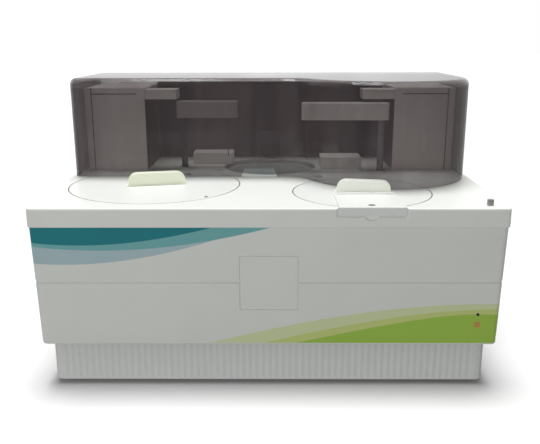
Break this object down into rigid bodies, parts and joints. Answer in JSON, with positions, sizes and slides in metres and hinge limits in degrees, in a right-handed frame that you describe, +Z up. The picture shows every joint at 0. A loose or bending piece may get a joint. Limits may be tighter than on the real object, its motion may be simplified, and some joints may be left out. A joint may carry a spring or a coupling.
{
  "type": "benchtop chemistry analyzer",
  "caption": "White benchtop chemistry analyzer: fluted base, wide casing, round carousel lids, a loading flap and a smoked hinged hood over two pipetting arms.",
  "frame": {"origin": "middle of the footprint, on the surface that the feet stand on", "axes": "+X to the right seen from the front, +Y to the rear, +Z up"},
  "size_m": [0.86, 0.6, 0.553],
  "materials": {
    "cover_white": "satin",
    "panel_grey": "satin",
    "front_plastic": "satin",
    "base_plastic": "matte",
    "foot_rubber": "matte",
    "hood_smoke": "gloss",
    "handle_cream": "satin",
    "arm_cream": "satin",
    "dark_plastic": "matte",
    "black_plastic": "gloss",
    "lamp_amber": "gloss",
    "steel": "brushed",
    "aluminium": "satin",
    "tub_white": "satin",
    "rack_blue": "satin",
    "rack_grey": "satin",
    "cuvette_clear": "gloss",
    "board_green": "satin"
  },
  "bodies": {
    "casing": {"badge_plate": "front_plastic", "base_tray": "base_plastic", "chassis_plate": "steel", "control_board": "board_green", "cuvette_washer": "cover_white", "deck_rear_wall": "dark_plastic", "detector_box": "cover_white", "fan_frame": "dark_plastic", "flap_hinge_pin": "steel", "foot_front_left": "foot_rubber", "foot_front_right": "foot_rubber", "foot_rear_left": "foot_rubber", "foot_rear_right": "foot_rubber", "front_panel": "front_plastic", "hood_hinge_left": "dark_plastic", "hood_hinge_right": "dark_plastic", "lamp_house": "cover_white", "power_inlet": "dark_plastic", "power_lamp": "black_plastic", "power_supply": "aluminium", "reaction_bath": "dark_plastic", "reaction_drive": "dark_plastic", "reagent_arm_drive": "aluminium", "reagent_drive": "dark_plastic", "reagent_tub": "tub_white", "reagent_wash_well": "cover_white", "rear_housing_left": "cover_white", "rear_housing_right": "cover_white", "rear_panel": "panel_grey", "sample_arm_drive": "aluminium", "sample_drive": "dark_plastic", "sample_lid": "cover_white", "sample_lid_handle": "handle_cream", "sample_tub": "tub_white", "sample_wash_well": "cover_white", "side_panel_left": "panel_grey", "side_panel_right": "panel_grey", "status_lamp": "lamp_amber", "syringe_block": "tub_white", "top_cover": "cover_white"},
    "hood_body": {"hood": "hood_smoke"},
    "reagent_lid_body": {"reagent_lid": "cover_white", "reagent_lid_handle": "handle_cream"},
    "flap_body": {"sample_flap": "cover_white"},
    "thumbscrew_body": {"cover_thumbscrew": "steel"},
    "rocker_body": {"power_rocker": "black_plastic"},
    "reagent_carousel_body": {"reagent_carousel": "rack_blue"},
    "sample_carousel_body": {"sample_carousel": "rack_grey"},
    "reaction_carousel_body": {"reaction_carousel": "cuvette_clear"},
    "reagent_carriage_body": {"reagent_carriage": "aluminium"},
    "reagent_arm_body": {"reagent_arm_post": "steel", "reagent_arm": "arm_cream", "reagent_probe": "steel"},
    "sample_carriage_body": {"sample_carriage": "aluminium"},
    "sample_arm_body": {"sample_arm_post": "steel", "sample_arm": "arm_cream", "sample_probe": "steel"},
    "reagent_plunger_body": {"reagent_plunger": "steel"},
    "sample_plunger_body": {"sample_plunger": "steel"},
    "fan_rotor_body": {"fan_rotor": "dark_plastic"}
  },
  "joints": [
    {"name": "hood_hinge", "type": "hinge", "parent": "casing", "child": "hood_body", "pos_m": [0, 0.274, 0.3565], "axis": [-1, 0, 0], "range_deg": [0, 65]},
    {"name": "reagent_lid_turn", "type": "hinge", "parent": "casing", "child": "reagent_lid_body", "pos_m": [-0.233, -0.092, 0.3435], "axis": [0, 0, 1], "range_deg": [0, 20]},
    {"name": "sample_flap_hinge", "type": "hinge", "parent": "casing", "child": "flap_body", "pos_m": [0.184, -0.195, 0.3468], "axis": [-1, 0, 0], "range_deg": [0, 95]},
    {"name": "thumbscrew_turn", "type": "hinge", "parent": "casing", "child": "thumbscrew_body", "pos_m": [0.3975, -0.274, 0.3435], "axis": [0, 0, 1], "continuous": true},
    {"name": "power_rocker_tilt", "type": "hinge", "parent": "casing", "child": "rocker_body", "pos_m": [-0.3, 0.2863, 0.179], "axis": [1, 0, 0], "range_deg": [0, 20]},
    {"name": "reagent_carousel_spin", "type": "hinge", "parent": "casing", "child": "reagent_carousel_body", "pos_m": [-0.233, -0.092, 0.29], "axis": [0, 0, 1], "continuous": true},
    {"name": "sample_carousel_spin", "type": "hinge", "parent": "casing", "child": "sample_carousel_body", "pos_m": [0.181, -0.1615, 0.29], "axis": [0, 0, 1], "continuous": true},
    {"name": "reaction_carousel_spin", "type": "hinge", "parent": "casing", "child": "reaction_carousel_body", "pos_m": [0, 0.12, 0.3], "axis": [0, 0, 1], "continuous": true},
    {"name": "reagent_arm_lift", "type": "slide", "parent": "casing", "child": "reagent_carriage_body", "axis": [0, 0, 1], "range_m": [-0.065, 0]},
    {"name": "reagent_arm_swing", "type": "hinge", "parent": "reagent_carriage_body", "child": "reagent_arm_body", "pos_m": [-0.199, 0.12, 0.46], "axis": [0, 0, 1], "range_deg": [-79.5, 0]},
    {"name": "sample_arm_lift", "type": "slide", "parent": "casing", "child": "sample_carriage_body", "axis": [0, 0, 1], "range_m": [-0.065, 0]},
    {"name": "sample_arm_swing", "type": "hinge", "parent": "sample_carriage_body", "child": "sample_arm_body", "pos_m": [0.251, 0.0715, 0.46], "axis": [0, 0, 1], "range_deg": [0, 54]},
    {"name": "reagent_syringe_stroke", "type": "slide", "parent": "casing", "child": "reagent_plunger_body", "axis": [0, 0, 1], "range_m": [-0.03, 0.02]},
    {"name": "sample_syringe_stroke", "type": "slide", "parent": "casing", "child": "sample_plunger_body", "axis": [0, 0, 1], "range_m": [-0.03, 0.02]},
    {"name": "fan_spin", "type": "hinge", "parent": "casing", "child": "fan_rotor_body", "pos_m": [0.19, 0.27, 0.232], "axis": [0, 1, 0], "continuous": true}
  ]
}
